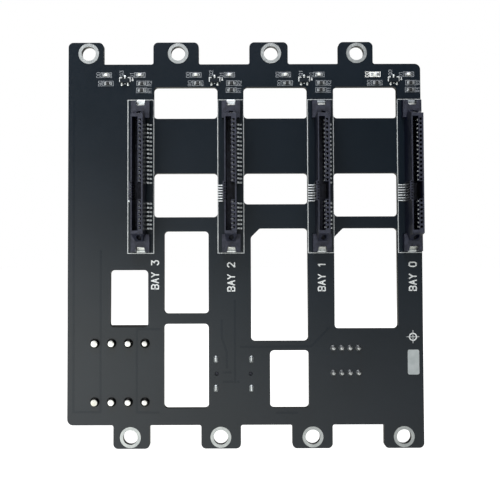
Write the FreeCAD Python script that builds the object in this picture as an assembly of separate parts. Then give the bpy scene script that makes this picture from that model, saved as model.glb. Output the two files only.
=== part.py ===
import FreeCAD, Part
import math
import os
from FreeCAD import Vector

# Four-bay drive backplane: a windowed circuit board that stands upright behind a drive cage.
# +X runs to the right and +Z up as the drives see it, and -Y points at the drives.
# Y = 0 is the rear face of the board. All sizes are millimetres, laid out from the left edge of
# the board and the foot of its lower ears. The saved parts have their origin on the rear face,
# midway between the two outer lower screw holes.

# Bays, counted from the left; the rightmost is bay 0
BAY_COUNT = 4
BAY_PITCH = 27.52
LEFT_MARGIN = 22.2          # left edge to the middle of the first socket
RIGHT_MARGIN = 3.32         # middle of the last socket to the right edge

# Board blank
BOARD_THICKNESS = 1.6
BODY_HEIGHT = 110.05
LOWER_EAR_HEIGHT = 7.1
UPPER_EAR_HEIGHT = 6.8
BOARD_CORNER_RADIUS = 1.8
EAR_CORNER_RADIUS = 1.5
EAR_ROOT_RADIUS = 0.6

# Screw ears: hole from its bay's middle, then the ear's reach to the left and right of the hole
LOWER_EARS = ((-3.05, 5.15, 5.9), (-3.2, 5.9, 6.1), (-2.85, 6.2, 6.0), (-2.75, 6.0, None))
UPPER_EARS = ((-16.0, None, 4.6), (-16.05, 7.6, 6.35), (-15.05, 6.6, 5.2), (-16.2, 5.65, 4.95))
LOWER_HOLE_RISE = 3.4       # foot of the lower ears to their holes
UPPER_HOLE_DROP = 3.4       # top of the upper ears to their holes
SCREW_HOLE_DIAMETER = 4.4
PLATING_WALL = 0.1
PLATING_PROUD = 0.05
SCREW_PAD_DIAMETER = 6.3

# Windows, chained down from the top edge of the body
WINDOW_RADIUS = 1.2
TOP_RAIL = 7.05
UPPER_WINDOW_HEIGHT = 9.75
SOCKET_RAIL = 16.85         # web between the upper and middle windows
STRIP_HALF_WIDTH = 4.0      # board left on each side of a socket's middle
MIDDLE_WINDOW_HEIGHTS = (13.4, 9.5, 13.3)
LOWER_WEBS = (4.35, 7.4, 3.6)
LOWER_WINDOW_FLOORS = (40.75, 32.3, 36.05)
LOWER_WINDOW_LEFTS = (7.2, 6.1, 4.0)        # from the middle of the bay on the left
LOWER_WINDOW_RIGHTS = (6.8, 4.1, 4.2)       # from the middle of the bay on the right
LOWER_WINDOW_CHAMFERS = (0.0, 2.7, 2.7)     # upper left corner
FOOT_WINDOW_FLOOR = 12.15
FOOT_WINDOWS = ((7.15, 6.8, 3.1), (11.8, 3.95, 2.75))    # left, right, web above
SIDE_WINDOW_REACH = (9.2, 2.3)              # left and right of the first socket's middle
SIDE_WINDOW_FLOOR = 36.65
SIDE_WINDOW_WEB = 5.5                       # below the first socket

# Drive socket housing, from the middle of its bay
SOCKET_DROP = 34.65         # top edge of the body to the middle of the socket
SOCKET_HEIGHT = 8.4
SOCKET_LENGTH = 46.0
RIM_LENGTH = 35.4
RIM_LEFT = 1.78
RIM_RIGHT = 1.78
SLOT_LENGTH = 33.6
SLOT_LEFT = 1.24
SLOT_RIGHT = 0.3
SLOT_FLOOR = 2.4
LEAD_IN = 0.2
FOOT_LEFT = 2.65
FOOT_RIGHT = 2.95
FOOT_HEIGHT = 2.3
BOW_SHARE = 0.4             # share of a foot's length under the sloped end of the rim
BOW_NARROWING = 0.6
SCOOP_SHARE = 0.69          # scoop's diameter as a share of the slope's length
FOOT_MIDDLE = 0.2
KEY_POCKET_LENGTH = 5.2
KEY_POCKET_WALL = 0.45
PORT_BULGE = 0.55           # extra wall outside the second-port contacts
PORT_BULGE_RISE = 1.9       # board to the underside of that wall
PORT_BULGE_LENGTH = 5.7

# Drive socket contacts
POWER_CONTACTS = 15
SIGNAL_CONTACTS = 7
CONTACT_PITCH = 1.27
SEGMENT_GAP = 6.35          # last power contact to first signal contact
CONTACT_WIDTH = 0.5
CONTACT_THICKNESS = 0.2
CAVITY_WIDTH = 0.7
CAVITY_DEPTH = 0.7
CAVITY_BAR = 0.27           # wall kept between a cavity and the slot at the mouth
BAR_HEIGHT = 0.45
TAIL_SHOULDER = 0.75        # board to where a tail leaves the housing
TAIL_SLOPE = 0.3            # run of the bend from the shoulder down to the foot
TAIL_FOOT = 0.5             # flat of a tail on the board
TAIL_NOTCH_ROOM = 0.15
TAIL_RIGHT = 3.3
SECOND_PORT_CONTACTS = 7
SECOND_PORT_PITCH = 0.8
SECOND_PORT_WIDTH = 0.32
SECOND_PORT_CAVITY_WIDTH = 0.45
SECOND_PORT_CAVITY_DEPTH = 0.5
TAIL_LEFT = 3.9
TAIL_LEFT_FOOT = 1.6
BEND_DROP = 3.4             # mouth to where the spring leaves its wall
TOUCH_DROP = 1.65           # mouth to where the spring meets the drive
TIP_DROP = 1.05             # mouth to the tip of the spring
SPRING_REACH = 0.12         # spring past the slot's wall

# Solder-down clips in the socket's feet
CLIP_WIDTH = 2.7
CLIP_NECK = 2.2
CLIP_SHARE = 0.28           # share of a foot's length
CLIP_HEIGHT = 1.9
CLIP_THICKNESS = 0.3
CLIP_CLEARANCE = 0.08

# Indicator parts of a bay, from its middle and the top edge of the body
CHIP_LENGTH = 1.6
CHIP_WIDTH = 0.8
CHIP_CAP = 0.3
RESISTOR_HEIGHT = 0.45
LED_BASE_HEIGHT = 0.25
LED_HEIGHT = 0.6
LED_LENS_TAPER = 0.1
LED_PLACES = ((-10.6, 3.25), (-0.3, 3.25))
RESISTOR_PLACES = ((-10.05, 5.85), (0.4, 5.85), (0.3, 8.0))
DRIVER_PLACE = (-4.85, 5.1)
DRIVER_LENGTH = 2.9
DRIVER_WIDTH = 1.3
DRIVER_HEIGHT = 1.05
DRIVER_STANDOFF = 0.1
DRIVER_WAIST = 0.6
DRIVER_TAPER = 0.12
LEAD_PITCH = 0.95
LEAD_WIDTH = 0.42
LEAD_THICKNESS = 0.12
LEAD_SPAN = 2.6
LEAD_EXIT = 0.42
LEAD_FOOT = 0.35

# Power inlets on the rear
PIN_TO_HOLE = 0.1           # radial room of a pin in the board
PIN_TO_BODY = 0.03          # room of a pin in its moulding
INLET_MIDDLE = 15.95
INLET_ROWS = (14.1, 31.8)
INLET_PINS = 4
INLET_PITCH = 5.08
INLET_PIN_DIAMETER = 2.1
INLET_TAIL_DIAMETER = 1.5
INLET_LENGTH = 22.4
INLET_WIDTH = 8.4
INLET_HEIGHT = 12.0
INLET_WALL = 1.1
INLET_BASE = 2.8
INLET_KEY = 2.2
INLET_CORNER = 0.5
INLET_PIN_RECESS = 1.2
PIN_POINT = 0.8

# Fan headers on the rear
FAN_MIDDLE = 7.3            # from the middle of the third socket
FAN_ROWS = (22.7, 30.2)
FAN_PINS = 4
FAN_PITCH = 2.54
FAN_PIN_SIDE = 0.64
FAN_PIN_HEIGHT = 11.4
FAN_PIN_POINT = 0.5
FAN_BASE_HEIGHT = 3.2
FAN_BELOW = 2.4
FAN_ABOVE = 3.4
FAN_LATCH_THICKNESS = 1.0
FAN_LATCH_HEIGHT = 11.0
FAN_LATCH_HOOK = 0.5
FAN_LATCH_PINS = 3          # pins that the latch wall spans

# Shielded cable port on the rear
PORT_MIDDLE = (0.75, 22.5)      # from the middle of the second socket, and up
PORT_TAB_SPAN = 10.77
PORT_TAB_ROWS = 8.8
PORT_SHEET = 0.3
PORT_TAB_WIDTH = 1.2
PORT_SHELL_WIDTH = 10.1
PORT_SHELL_RISE = 1.2       # board to the lower edge of the shell
PORT_SHELL_HEIGHT = 11.9
PORT_BLOCK_HEIGHT = 7.4
PORT_BLOCK_ROOM = 0.05
PORT_FLANGE_REACH = 0.5     # flange past the shell
PORT_FLANGE_ROOM = 0.2      # flange to the shell's tabs
PORT_SLOT_LENGTH = 8.2
PORT_SLOT_WIDTH = 1.5
PORT_SLOT_DEPTH = 5.2
PORT_SLOT_SPACING = 4.2
PORT_CONTACTS = 9
PORT_CONTACT_PITCH = 0.75
PORT_CONTACT_WIDTH = 0.3
PORT_CONTACT_THICKNESS = 0.2
PEG_SPAN = 10.35
PEG_DIAMETER = 1.1
PEG_LENGTH = 1.2
PEG_ROOM = 0.05

# Solder joints on the drive side
INLET_JOINT = (2.9, 2.15, 1.3)      # diameter on the board, diameter at the pin's end and height
FAN_JOINT = (1.8, 0.95, 1.2)
JOINT_SHOULDER = 0.92       # share of the joint's height where its fillet ends
TAB_CORNER = 0.8            # corner radius of a tab's slot as a share of its half width
TAB_JOINT_MARGIN = 0.3
TAB_JOINT_HEIGHT = 0.7
TAB_SLOT_ROOM = 0.15

CUT_OVER = 1.0              # how far cutting tools run past a face

# Places worked out from the sizes above
BAY_MIDDLES = [LEFT_MARGIN + BAY_PITCH * i for i in range(BAY_COUNT)]
BOARD_WIDTH = BAY_MIDDLES[-1] + RIGHT_MARGIN
BODY_BOTTOM = LOWER_EAR_HEIGHT
BODY_TOP = BODY_BOTTOM + BODY_HEIGHT
BOARD_TOP = BODY_TOP + UPPER_EAR_HEIGHT
SOCKET_MIDDLE = BODY_TOP - SOCKET_DROP
SOCKET_FOOT = (SOCKET_LENGTH - RIM_LENGTH) / 2
BOW_LENGTH = BOW_SHARE * SOCKET_FOOT
CLIP_LENGTH = CLIP_SHARE * SOCKET_FOOT
TAIL_NOTCH_HEIGHT = TAIL_SHOULDER + CONTACT_THICKNESS / 2 + TAIL_NOTCH_ROOM
LOWER_HOLES = [(x + ear[0], LOWER_HOLE_RISE) for x, ear in zip(BAY_MIDDLES, LOWER_EARS)]
UPPER_HOLES = [(x + ear[0], BOARD_TOP - UPPER_HOLE_DROP) for x, ear in zip(BAY_MIDDLES, UPPER_EARS)]
ORIGIN = Vector((LOWER_HOLES[0][0] + LOWER_HOLES[-1][0]) / 2, 0, LOWER_HOLE_RISE)
FAN_X = BAY_MIDDLES[2] + FAN_MIDDLE
PORT_X = BAY_MIDDLES[1] + PORT_MIDDLE[0]
PORT_Z = PORT_MIDDLE[1]


# Helpers that place and form solids

def front(x, height, z):
    """A point at a height above the drive side of the board."""
    return Vector(x, -BOARD_THICKNESS - height, z)


def rear(x, height, z):
    """A point at a height above the cable side of the board."""
    return Vector(x, height, z)


def prism(side, outline, z0, z1):
    """The (x, height) outline carried from z0 to z1."""
    points = [side(x, height, z0) for x, height in outline]
    face = Part.Face(Part.makePolygon(points + points[:1]))
    return face.extrude(Vector(0, 0, z1 - z0))


def cross_prism(side, outline, x0, x1):
    """The (z, height) outline carried from x0 to x1."""
    points = [side(x0, height, z) for z, height in outline]
    face = Part.Face(Part.makePolygon(points + points[:1]))
    return face.extrude(Vector(x1 - x0, 0, 0))


def block(side, x0, x1, h0, h1, z0, z1):
    return prism(side, [(x0, h0), (x1, h0), (x1, h1), (x0, h1)], z0, z1)


def rounded_wire(corners, y):
    """A closed wire through (x, z, radius) corners, each turned into a tangent arc."""
    stops = []
    for i, (x, z, radius) in enumerate(corners):
        here = Vector(x, y, z)
        before = Vector(corners[i - 1][0], y, corners[i - 1][1])
        after = Vector(corners[(i + 1) % len(corners)][0], y, corners[(i + 1) % len(corners)][1])
        back = (before - here).normalize()
        ahead = (after - here).normalize()
        half = back.getAngle(ahead) / 2
        run = radius / math.tan(half)
        inward = (back + ahead).normalize() * (radius / math.sin(half) - radius)
        stops.append((here + back * run, here + inward, here + ahead * run))
    edges = []
    for i, (start, middle, end) in enumerate(stops):
        edges.append(Part.Arc(start, middle, end).toShape())
        following = stops[(i + 1) % len(stops)][0]
        edges.append(Part.LineSegment(end, following).toShape())
    return Part.Wire(edges)


def slab(side, corners, h0, h1):
    """A rounded (x, z, radius) outline carried from height h0 to h1."""
    bottom = side(0, h0, 0).y
    top = side(0, h1, 0).y
    return Part.Face(rounded_wire(corners, bottom)).extrude(Vector(0, top - bottom, 0))


def rectangle(x0, x1, z0, z1, radius):
    return [(x0, z0, radius), (x1, z0, radius), (x1, z1, radius), (x0, z1, radius)]


def turned(side, x, z, path):
    """A path of (radius, height) stops turned about Y; a pair of stops is an arc through the first."""
    def place(stop):
        return side(x + stop[0], stop[1], z)
    edges = []
    here = path[0]
    for stop in path[1:] + path[:1]:
        if isinstance(stop[0], tuple):
            edges.append(Part.Arc(place(here), place(stop[0]), place(stop[1])).toShape())
            here = stop[1]
        else:
            edges.append(Part.LineSegment(place(here), place(stop)).toShape())
            here = stop
    return Part.Face(Part.Wire(edges)).revolve(side(x, 0, z), Vector(0, 1, 0), 360)


def drilled(x, z, diameter):
    """A tool for a round hole through the board."""
    start = rear(x, CUT_OVER, z)
    return Part.makeCylinder(diameter / 2, BOARD_THICKNESS + 2 * CUT_OVER, start, Vector(0, -1, 0))


def frustum(side, low, high):
    """A solid between two level rectangles, each (x0, x1, z0, z1, height)."""
    wires = []
    for x0, x1, z0, z1, height in (low, high):
        points = [side(x, height, z) for x, z in ((x0, z0), (x1, z0), (x1, z1), (x0, z1))]
        wires.append(Part.makePolygon(points + points[:1]))
    return Part.makeLoft(wires, True, True)


def bent_strip(centreline, thickness):
    """The outline of a strip of even thickness along a bent centreline."""
    left = []
    right = []
    for i, (x, height) in enumerate(centreline):
        here = Vector(x, height, 0)
        runs = []
        if i > 0:
            runs.append((here - Vector(*centreline[i - 1], 0)).normalize())
        if i < len(centreline) - 1:
            runs.append((Vector(*centreline[i + 1], 0) - here).normalize())
        normals = [Vector(-run.y, run.x, 0) for run in runs]
        mitre = sum(normals[1:], normals[0]).normalize()
        offset = mitre * (thickness / 2 / mitre.dot(normals[0]))
        left.append(((here + offset).x, (here + offset).y))
        right.append(((here - offset).x, (here - offset).y))
    return left + right[::-1]


def row(middle, count, pitch):
    """Evenly spaced places about a middle."""
    return [middle + pitch * (i - (count - 1) / 2) for i in range(count)]


def save(name, solids):
    """Write one node, moved from the layout to the part's own origin."""
    shape = solids[0] if len(solids) == 1 else Part.makeCompound(solids)
    shape.translated(-ORIGIN).exportStep("parts/" + name + ".step")


# Circuit board

def board_outline():
    """The board's edge, anticlockwise from the lower left corner of its body."""
    corners = [(0, BODY_BOTTOM, BOARD_CORNER_RADIUS)]
    for (hole, _), (_, left, right) in zip(LOWER_HOLES, LOWER_EARS):
        corners.append((hole - left, BODY_BOTTOM, EAR_ROOT_RADIUS))
        corners.append((hole - left, 0, EAR_CORNER_RADIUS))
        if right is None:
            corners.append((BOARD_WIDTH, 0, EAR_CORNER_RADIUS))
        else:
            corners.append((hole + right, 0, EAR_CORNER_RADIUS))
            corners.append((hole + right, BODY_BOTTOM, EAR_ROOT_RADIUS))
    corners.append((BOARD_WIDTH, BODY_TOP, BOARD_CORNER_RADIUS))
    for (hole, _), (_, left, right) in zip(UPPER_HOLES[::-1], UPPER_EARS[::-1]):
        corners.append((hole + right, BODY_TOP, EAR_ROOT_RADIUS))
        corners.append((hole + right, BOARD_TOP, EAR_CORNER_RADIUS))
        if left is None:
            corners.append((0, BOARD_TOP, EAR_CORNER_RADIUS))
        else:
            corners.append((hole - left, BOARD_TOP, EAR_CORNER_RADIUS))
            corners.append((hole - left, BODY_TOP, EAR_ROOT_RADIUS))
    return corners


def window_outlines():
    """Every window between and below the sockets, as rounded corners."""
    windows = []
    upper_top = BODY_TOP - TOP_RAIL
    upper_floor = upper_top - UPPER_WINDOW_HEIGHT
    middle_top = upper_floor - SOCKET_RAIL
    for i in range(BAY_COUNT - 1):
        x0 = BAY_MIDDLES[i] + STRIP_HALF_WIDTH
        x1 = BAY_MIDDLES[i + 1] - STRIP_HALF_WIDTH
        middle_floor = middle_top - MIDDLE_WINDOW_HEIGHTS[i]
        windows.append(rectangle(x0, x1, upper_floor, upper_top, WINDOW_RADIUS))
        windows.append(rectangle(x0, x1, middle_floor, middle_top, WINDOW_RADIUS))
        left = BAY_MIDDLES[i] + LOWER_WINDOW_LEFTS[i]
        right = BAY_MIDDLES[i + 1] - LOWER_WINDOW_RIGHTS[i]
        top = middle_floor - LOWER_WEBS[i]
        lower = rectangle(left, right, LOWER_WINDOW_FLOORS[i], top, WINDOW_RADIUS)
        chamfer = LOWER_WINDOW_CHAMFERS[i]
        if chamfer > 0:
            lower[3:] = [(left + chamfer, top, WINDOW_RADIUS), (left, top - chamfer, WINDOW_RADIUS)]
        windows.append(lower)
    for i, (left, right, web) in enumerate(FOOT_WINDOWS):
        top = LOWER_WINDOW_FLOORS[i] - web
        x0 = BAY_MIDDLES[i] + left
        x1 = BAY_MIDDLES[i + 1] - right
        windows.append(rectangle(x0, x1, FOOT_WINDOW_FLOOR, top, WINDOW_RADIUS))
    side_top = SOCKET_MIDDLE - SOCKET_LENGTH / 2 - SIDE_WINDOW_WEB
    x0 = BAY_MIDDLES[0] - SIDE_WINDOW_REACH[0]
    x1 = BAY_MIDDLES[0] + SIDE_WINDOW_REACH[1]
    windows.append(rectangle(x0, x1, SIDE_WINDOW_FLOOR, side_top, WINDOW_RADIUS))
    return windows


def tab_places():
    """Where the cable port's four tabs go through the board."""
    return [(PORT_X + sx * PORT_TAB_SPAN / 2, PORT_Z + sz * PORT_TAB_ROWS / 2)
            for sx in (-1, 1) for sz in (-1, 1)]


def tab_slot(x, z, margin):
    """The rounded outline of a tab, grown by a margin all round."""
    half_x = PORT_SHEET / 2 + margin
    half_z = PORT_TAB_WIDTH / 2 + margin
    return rectangle(x - half_x, x + half_x, z - half_z, z + half_z, TAB_CORNER * half_x)


def make_board():
    tools = [slab(rear, outline, -BOARD_THICKNESS - CUT_OVER, CUT_OVER) for outline in window_outlines()]
    for x, z in LOWER_HOLES + UPPER_HOLES:
        tools.append(drilled(x, z, SCREW_HOLE_DIAMETER + 2 * PLATING_WALL))
    for z in INLET_ROWS:
        for x in row(INLET_MIDDLE, INLET_PINS, INLET_PITCH):
            tools.append(drilled(x, z, INLET_TAIL_DIAMETER + 2 * PIN_TO_HOLE))
    for z in FAN_ROWS:
        for x in row(FAN_X, FAN_PINS, FAN_PITCH):
            tools.append(drilled(x, z, FAN_PIN_SIDE * math.sqrt(2) + 2 * PIN_TO_HOLE))
    for x, z in tab_places():
        tools.append(slab(rear, tab_slot(x, z, TAB_SLOT_ROOM), -BOARD_THICKNESS - CUT_OVER, CUT_OVER))
    for x in row(PORT_X, 2, PEG_SPAN):
        tools.append(drilled(x, PORT_Z, PEG_DIAMETER + 2 * PEG_ROOM))
    blank = slab(rear, board_outline(), -BOARD_THICKNESS, 0)
    return blank.cut(tools)


def make_plating(x, z):
    """A plated screw hole: a thin barrel with a pad on each face."""
    hole = SCREW_HOLE_DIAMETER / 2
    barrel = hole + PLATING_WALL
    pad = SCREW_PAD_DIAMETER / 2
    back = -BOARD_THICKNESS
    return turned(rear, x, z, [
        (hole, back - PLATING_PROUD), (pad, back - PLATING_PROUD), (pad, back), (barrel, back),
        (barrel, 0), (pad, 0), (pad, PLATING_PROUD), (hole, PLATING_PROUD)])


# Drive sockets

def contact_places():
    """Heights of the power, signal and second-port contacts from the socket's middle."""
    span = CONTACT_PITCH * (POWER_CONTACTS + SIGNAL_CONTACTS - 2) + SEGMENT_GAP
    power = [span / 2 - CONTACT_PITCH * i for i in range(POWER_CONTACTS)]
    signal = [-span / 2 + CONTACT_PITCH * i for i in range(SIGNAL_CONTACTS)]
    key_middle = (power[-1] + signal[-1]) / 2
    return power, signal, row(key_middle, SECOND_PORT_CONTACTS, SECOND_PORT_PITCH), key_middle


def contact_cavity(hand, slot_wall, depth, outer_wall, groove_top, z, width):
    """A tool for one contact: a shaft in the wall, its window to the slot and its groove to the outside."""
    inner = slot_wall + CAVITY_BAR
    outer = inner + depth
    mouth = SOCKET_HEIGHT + CUT_OVER
    bar = SOCKET_HEIGHT - BAR_HEIGHT
    outside = outer_wall + CUT_OVER
    outline = [(inner, 0), (outside, 0), (outside, groove_top), (outer, groove_top),
               (outer, mouth), (inner, mouth), (inner, bar), (slot_wall - CAVITY_BAR, bar),
               (slot_wall - CAVITY_BAR, SLOT_FLOOR), (inner, SLOT_FLOOR)]
    return prism(front, [(hand * x, h) for x, h in outline], z - width / 2, z + width / 2)


def make_contact(hand, slot_wall, depth, tail, foot, z, width):
    """A spring contact: a bent tail on the board, a beam up its shaft and a bowed tip in the slot."""
    half = CONTACT_THICKNESS / 2
    beam = slot_wall + CAVITY_BAR + depth - half
    heel = tail - foot
    centreline = [(tail, half), (heel, half), (heel - TAIL_SLOPE, TAIL_SHOULDER), (beam, TAIL_SHOULDER),
                  (beam, SOCKET_HEIGHT - BEND_DROP),
                  (slot_wall - SPRING_REACH + half, SOCKET_HEIGHT - TOUCH_DROP),
                  (slot_wall + CAVITY_BAR + depth / 2, SOCKET_HEIGHT - TIP_DROP)]
    outline = [(hand * x, h) for x, h in bent_strip(centreline, CONTACT_THICKNESS)]
    return prism(front, outline, z - width / 2, z + width / 2)


def clip_outline(margin):
    """The (x, z) outline of a solder-down clip at the upper foot, narrow end inwards."""
    inner = SOCKET_LENGTH / 2 - CLIP_LENGTH
    outer = SOCKET_LENGTH / 2
    neck = CLIP_NECK / 2 + margin
    wide = CLIP_WIDTH / 2 + margin
    return [(FOOT_MIDDLE - neck, inner), (FOOT_MIDDLE + neck, inner),
            (FOOT_MIDDLE + wide, outer), (FOOT_MIDDLE - wide, outer)]


def clip_prism(margin, h0, h1):
    points = [front(x, h0, z) for x, z in clip_outline(margin)]
    face = Part.Face(Part.makePolygon(points + points[:1]))
    return face.extrude(front(0, h1, 0) - front(0, h0, 0))


def flipped(shape):
    """The same shape at the lower end of the socket."""
    return shape.mirror(Vector(0, 0, 0), Vector(0, 0, 1))


def make_foot():
    """The upper foot with its sloped bow, scoop and clip notch."""
    end = RIM_LENGTH / 2
    foot = block(front, -FOOT_LEFT, FOOT_RIGHT, 0, FOOT_HEIGHT, end, SOCKET_LENGTH / 2)
    foot = foot.cut(clip_prism(CLIP_CLEARANCE, -CUT_OVER, FOOT_HEIGHT + CUT_OVER))
    sections = []
    for z, narrowing, height in ((end, 0, SOCKET_HEIGHT), (end + BOW_LENGTH, BOW_NARROWING, FOOT_HEIGHT)):
        x0 = -RIM_LEFT + narrowing
        x1 = RIM_RIGHT - narrowing
        points = [front(x, h, z) for x, h in ((x0, 0), (x1, 0), (x1, height), (x0, height))]
        sections.append(Part.makePolygon(points + points[:1]))
    bow = Part.makeLoft(sections, True, True)
    scoop = Part.makeCylinder(SCOOP_SHARE * BOW_LENGTH / 2, SOCKET_HEIGHT,
                              front(FOOT_MIDDLE, FOOT_HEIGHT, end + BOW_LENGTH / 2), Vector(0, -1, 0))
    return foot.fuse(bow).cut(scoop)


def make_socket_housing():
    power, signal, second_port, key_middle = contact_places()
    top = SOCKET_HEIGHT + CUT_OVER
    rim = block(front, -RIM_LEFT, RIM_RIGHT, 0, SOCKET_HEIGHT, -RIM_LENGTH / 2, RIM_LENGTH / 2)
    bulge = block(front, -RIM_LEFT - PORT_BULGE, -RIM_LEFT, PORT_BULGE_RISE, SOCKET_HEIGHT,
                  key_middle - PORT_BULGE_LENGTH / 2, key_middle + PORT_BULGE_LENGTH / 2)
    foot = make_foot()
    body = rim.fuse([bulge, foot, flipped(foot)]).removeSplitter()
    half = SLOT_LENGTH / 2
    lead_in = [(-SLOT_LEFT - LEAD_IN, SOCKET_HEIGHT), (-SLOT_LEFT, SOCKET_HEIGHT - 2 * LEAD_IN),
               (-SLOT_LEFT, top), (-SLOT_LEFT - LEAD_IN, top)]
    tools = [block(front, -SLOT_LEFT, SLOT_RIGHT, SLOT_FLOOR, top, -half, half),
             prism(front, lead_in, -half, half),
             block(front, SLOT_RIGHT, RIM_RIGHT - KEY_POCKET_WALL, SLOT_FLOOR, top,
                   key_middle - KEY_POCKET_LENGTH / 2, key_middle + KEY_POCKET_LENGTH / 2)]
    for z in power + signal:
        tools.append(contact_cavity(1, SLOT_RIGHT, CAVITY_DEPTH, RIM_RIGHT, TAIL_NOTCH_HEIGHT, z,
                                    CAVITY_WIDTH))
    for z in second_port:
        tools.append(contact_cavity(-1, SLOT_LEFT, SECOND_PORT_CAVITY_DEPTH, RIM_LEFT + PORT_BULGE,
                                    SOCKET_HEIGHT - BAR_HEIGHT, z, SECOND_PORT_CAVITY_WIDTH))
    return body.cut(tools)


def make_clip():
    """A solder-down clip: a tongue on the board with an upright end in the foot's notch."""
    tongue = clip_prism(0, 0, CLIP_THICKNESS)
    inner = SOCKET_LENGTH / 2 - CLIP_LENGTH
    upright = block(front, FOOT_MIDDLE - CLIP_NECK / 2, FOOT_MIDDLE + CLIP_NECK / 2, 0, CLIP_HEIGHT,
                    inner, inner + CLIP_THICKNESS)
    return tongue.fuse(upright).removeSplitter()


def make_sockets():
    power, signal, second_port, _ = contact_places()
    clip = make_clip()
    pieces = {
        "housing": [make_socket_housing()],
        "power_contacts": [make_contact(1, SLOT_RIGHT, CAVITY_DEPTH, TAIL_RIGHT, TAIL_FOOT, z, CONTACT_WIDTH)
                           for z in power],
        "signal_contacts": [make_contact(1, SLOT_RIGHT, CAVITY_DEPTH, TAIL_RIGHT, TAIL_FOOT, z, CONTACT_WIDTH)
                            for z in signal],
        "second_port_contacts": [make_contact(-1, SLOT_LEFT, SECOND_PORT_CAVITY_DEPTH, TAIL_LEFT,
                                              TAIL_LEFT_FOOT, z, SECOND_PORT_WIDTH) for z in second_port],
        "solder_clips": [clip, flipped(clip)],
    }
    for i, x in enumerate(BAY_MIDDLES):
        move = Vector(x, 0, SOCKET_MIDDLE)
        for name, solids in pieces.items():
            node = "drive_socket_" + str(BAY_COUNT - 1 - i) + "_" + name
            save(node, [solid.translated(move) for solid in solids])


# Indicator parts of a bay

def chip_caps(x, z, height):
    """The two soldered end caps of a chip that lies along X."""
    caps = []
    for hand in (-1, 1):
        end = x + hand * CHIP_LENGTH / 2
        inner = end - hand * CHIP_CAP
        caps.append(block(front, min(inner, end), max(inner, end), 0, height,
                          z - CHIP_WIDTH / 2, z + CHIP_WIDTH / 2))
    return caps


def make_resistor(x, z):
    half = CHIP_LENGTH / 2 - CHIP_CAP
    return block(front, x - half, x + half, 0, RESISTOR_HEIGHT, z - CHIP_WIDTH / 2, z + CHIP_WIDTH / 2)


def make_led(x, z):
    """A chip lamp: a straight base under a tapered lens."""
    half = CHIP_LENGTH / 2 - CHIP_CAP
    slope = half - LED_LENS_TAPER
    outline = [(x - half, 0), (x + half, 0), (x + half, LED_BASE_HEIGHT), (x + slope, LED_HEIGHT),
               (x - slope, LED_HEIGHT), (x - half, LED_BASE_HEIGHT)]
    return prism(front, outline, z - CHIP_WIDTH / 2, z + CHIP_WIDTH / 2)


def make_driver(x, z):
    """The lamp driver's moulding: straight up to its waist, tapered above."""
    half_x = DRIVER_LENGTH / 2
    half_z = DRIVER_WIDTH / 2
    top_x = half_x - DRIVER_TAPER
    top_z = half_z - DRIVER_TAPER
    lower = block(front, x - half_x, x + half_x, DRIVER_STANDOFF, DRIVER_WAIST, z - half_z, z + half_z)
    upper = frustum(front, (x - half_x, x + half_x, z - half_z, z + half_z, DRIVER_WAIST),
                    (x - top_x, x + top_x, z - top_z, z + top_z, DRIVER_HEIGHT))
    return lower.fuse(upper).removeSplitter()


def make_driver_leads(x, z):
    """Three gull-wing leads: one on the upper side, two on the lower."""
    half = LEAD_THICKNESS / 2
    tip = LEAD_SPAN / 2
    heel = tip - LEAD_FOOT
    knee = (DRIVER_WIDTH / 2 + heel) / 2
    centreline = [(tip, half), (heel, half), (knee, LEAD_EXIT), (DRIVER_WIDTH / 2, LEAD_EXIT)]
    outline = bent_strip(centreline, LEAD_THICKNESS)
    leads = []
    for hand, offset in ((1, 0), (-1, -LEAD_PITCH), (-1, LEAD_PITCH)):
        middle = x + offset
        leads.append(cross_prism(front, [(z + hand * reach, h) for reach, h in outline],
                                 middle - LEAD_WIDTH / 2, middle + LEAD_WIDTH / 2))
    return leads


def make_indicators():
    for i, bay in enumerate(BAY_MIDDLES):
        leds = [(bay + dx, BODY_TOP - drop) for dx, drop in LED_PLACES]
        resistors = [(bay + dx, BODY_TOP - drop) for dx, drop in RESISTOR_PLACES]
        driver = (bay + DRIVER_PLACE[0], BODY_TOP - DRIVER_PLACE[1])
        caps = [cap for place in leds for cap in chip_caps(*place, LED_BASE_HEIGHT)]
        caps += [cap for place in resistors for cap in chip_caps(*place, RESISTOR_HEIGHT)]
        name = "bay_" + str(BAY_COUNT - 1 - i)
        save(name + "_leds", [make_led(*place) for place in leds])
        save(name + "_resistors", [make_resistor(*place) for place in resistors])
        save(name + "_chip_end_caps", caps)
        save(name + "_led_driver", [make_driver(*driver)])
        save(name + "_led_driver_leads", make_driver_leads(*driver))


# Power inlets

def keyed_outline(z, inset):
    """The inlet's outline with its two keyed upper corners, moved in by an even wall."""
    half_x = INLET_LENGTH / 2 - inset
    half_z = INLET_WIDTH / 2 - inset
    key = INLET_KEY - inset * (2 - math.sqrt(2))
    x0 = INLET_MIDDLE - half_x
    x1 = INLET_MIDDLE + half_x
    return [(x, z + dz, INLET_CORNER) for x, dz in (
        (x0, -half_z), (x1, -half_z), (x1, half_z - key), (x1 - key, half_z),
        (x0 + key, half_z), (x0, half_z - key))]


def make_inlet_housing(z):
    shroud = slab(rear, keyed_outline(z, 0), 0, INLET_HEIGHT)
    tools = [slab(rear, keyed_outline(z, INLET_WALL), INLET_BASE, INLET_HEIGHT + CUT_OVER)]
    for x in row(INLET_MIDDLE, INLET_PINS, INLET_PITCH):
        hole = INLET_PIN_DIAMETER / 2 + PIN_TO_BODY
        tools.append(Part.makeCylinder(hole, INLET_BASE + 2 * CUT_OVER, rear(x, -CUT_OVER, z),
                                       Vector(0, 1, 0)))
    return shroud.cut(tools)


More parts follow.
